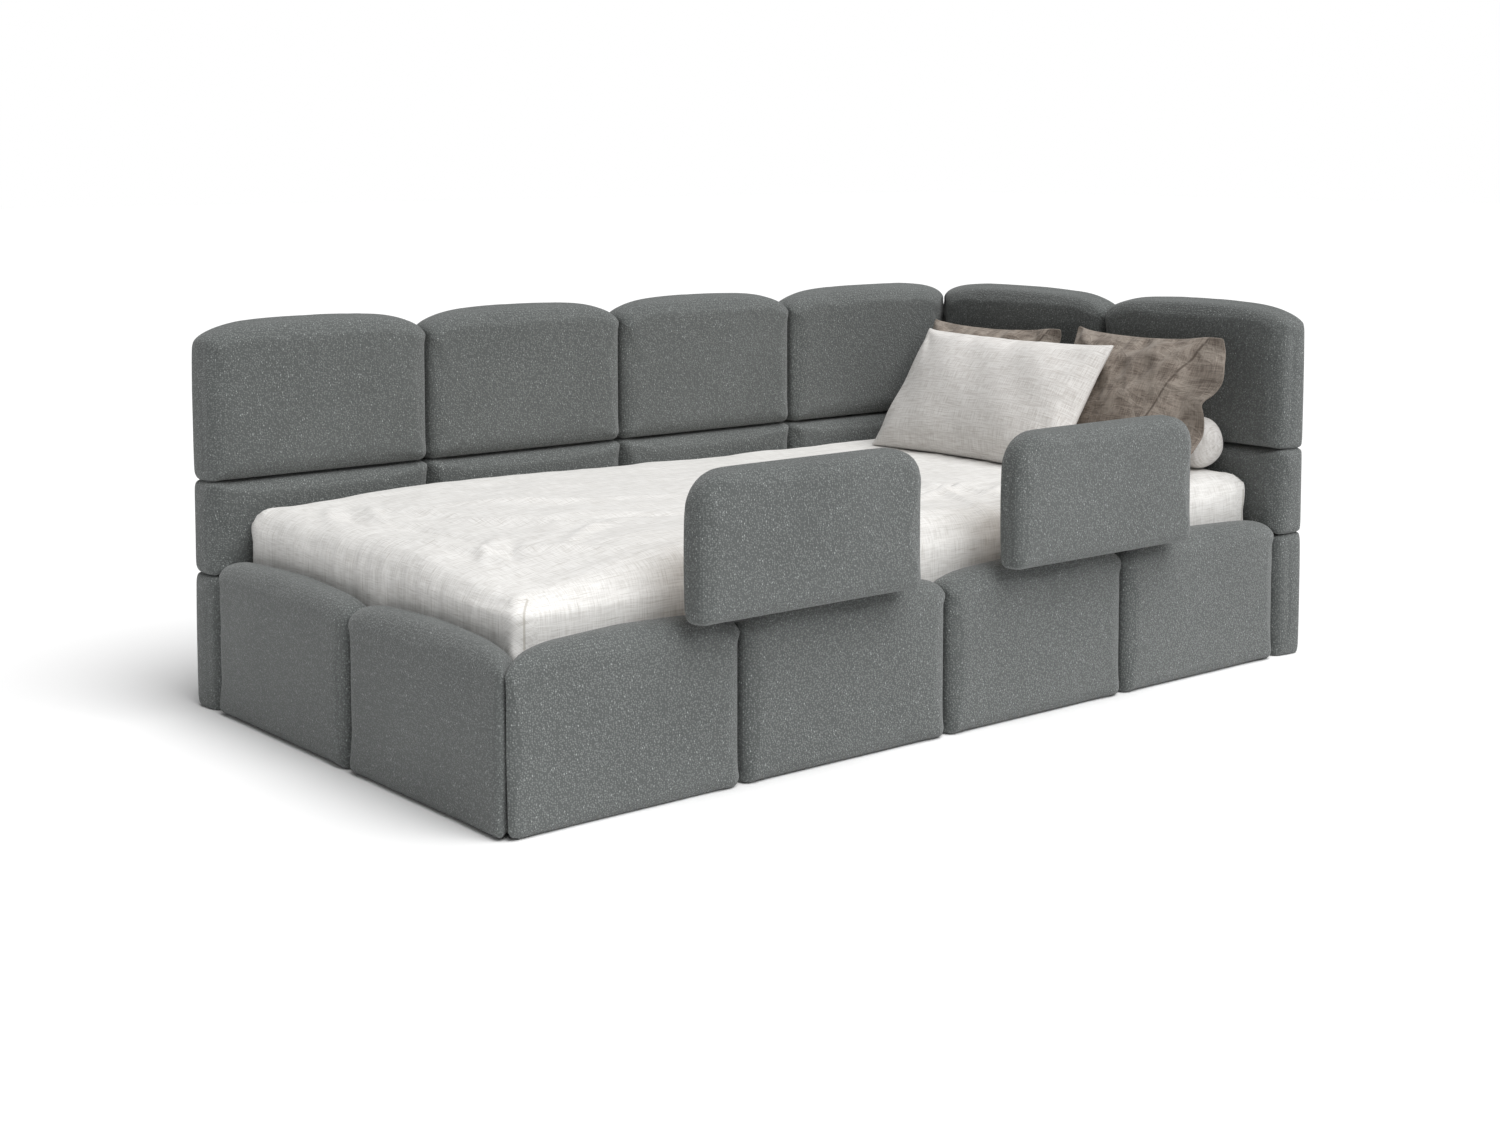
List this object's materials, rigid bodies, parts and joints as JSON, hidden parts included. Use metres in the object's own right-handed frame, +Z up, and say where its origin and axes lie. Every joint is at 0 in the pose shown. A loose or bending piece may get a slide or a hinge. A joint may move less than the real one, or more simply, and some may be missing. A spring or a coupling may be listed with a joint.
{
  "type": "toddler bed",
  "caption": "Upholstered corner bed for a small child: padded rails, a crowned panel along the back and the head, lift-off guards, slatted base, mattress and pillows.",
  "frame": {"origin": "centre of the whole object's footprint, on the floor", "axes": "+X along the bed from the foot end to the head panel, +Y from the open front side to the back panel, +Z up"},
  "size_m": [1.749, 0.999, 0.65],
  "materials": {
    "upholstery": "grey pebbled woven fabric with pale flecks, matt",
    "sheet": "off-white slub linen, matt",
    "white_linen": "natural white linen, matt",
    "brown_linen": "mottled taupe brushed linen",
    "lining": "dark grey non-woven lining",
    "webbing": "woven tape",
    "board": "birch plywood, sanded",
    "slat_wood": "birch slats, sealed",
    "timber": "planed pine",
    "steel": "black powder-coated steel",
    "fastener": "zinc plated",
    "glide": "black nylon"
  },
  "bodies": {
    "root": {"back_board": "board", "back_inner_rail": "timber", "back_lining": "lining", "back_low_pad": "upholstery", "back_mid_pad_1": "upholstery", "back_mid_pad_2": "upholstery", "back_mid_pad_3": "upholstery", "back_mid_pad_4": "upholstery", "back_top_pad_1": "upholstery", "back_top_pad_2": "upholstery", "back_top_pad_3": "upholstery", "back_top_pad_4": "upholstery", "centre_beam": "timber", "centre_legs": "timber", "corner_bolts": "fastener", "corner_brackets": "steel", "foot_pad_1": "upholstery", "foot_pad_2": "upholstery", "foot_rail_board": "board", "front_ledge": "timber", "front_pad_1": "upholstery", "front_pad_2": "upholstery", "front_pad_3": "upholstery", "front_pad_4": "upholstery", "front_rail_board": "board", "glides": "glide", "head_board": "board", "head_inner_rail": "timber", "head_lining": "lining", "head_low_pad": "upholstery", "head_mid_pad_1": "upholstery", "head_mid_pad_2": "upholstery", "head_top_pad_1": "upholstery", "head_top_pad_2": "upholstery", "slat_1": "slat_wood", "slat_10": "slat_wood", "slat_11": "slat_wood", "slat_12": "slat_wood", "slat_2": "slat_wood", "slat_3": "slat_wood", "slat_4": "slat_wood", "slat_5": "slat_wood", "slat_6": "slat_wood", "slat_7": "slat_wood", "slat_8": "slat_wood", "slat_9": "slat_wood", "slat_straps": "webbing"},
    "guard_left": {"guard_left_board": "board", "guard_left_hooks": "steel", "guard_left_pad": "upholstery", "guard_left_screws": "fastener"},
    "guard_right": {"guard_right_board": "board", "guard_right_hooks": "steel", "guard_right_pad": "upholstery", "guard_right_screws": "fastener"},
    "mattress": {"mattress": "sheet", "white_pillow": "white_linen", "brown_pillow_left": "brown_linen", "brown_pillow_right": "brown_linen", "bolster": "white_linen"}
  },
  "joints": [
    {"name": "guard_left_lift", "type": "slide", "parent": "root", "child": "guard_left", "axis": [0, 0, 1], "range_m": [0, 0.16]},
    {"name": "guard_right_lift", "type": "slide", "parent": "root", "child": "guard_right", "axis": [0, 0, 1], "range_m": [0, 0.16]},
    {"name": "mattress_lift", "type": "slide", "parent": "root", "child": "mattress", "axis": [0, 0, 1], "range_m": [0, 0.3]}
  ]
}
